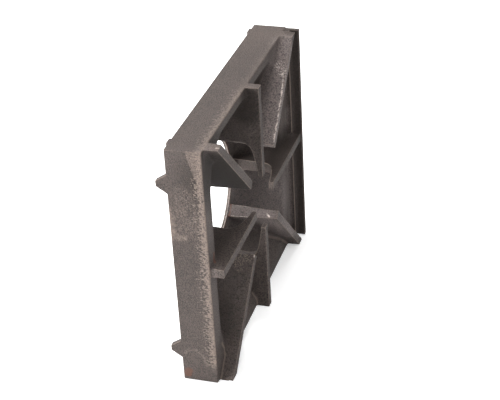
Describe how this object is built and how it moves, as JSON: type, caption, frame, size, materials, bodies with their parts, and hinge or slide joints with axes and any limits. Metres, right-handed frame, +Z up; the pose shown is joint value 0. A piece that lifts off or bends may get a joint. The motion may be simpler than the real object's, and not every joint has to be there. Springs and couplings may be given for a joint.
{
  "type": "hob pan support",
  "caption": "Oblong cast-iron hob pan support: deep rails, a dished bowl with a round burner hole, and upright fins that carry the pan. Shown standing on its edge.",
  "frame": {"origin": "centre of the box around the casting, on the plane it stands on: the outer face of its bottom rail", "axes": "+Z up along the rails that stand upright; +X along the burner axis, from the burner towards the pan; +Y towards the rail with the raised ledge"},
  "size_m": [0.0724, 0.343, 0.305],
  "materials": {
    "iron": "as-cast, fine sand grain, with worn edges"
  },
  "bodies": {
    "root": {"pan_support": "iron"}
  },
  "joints": []
}
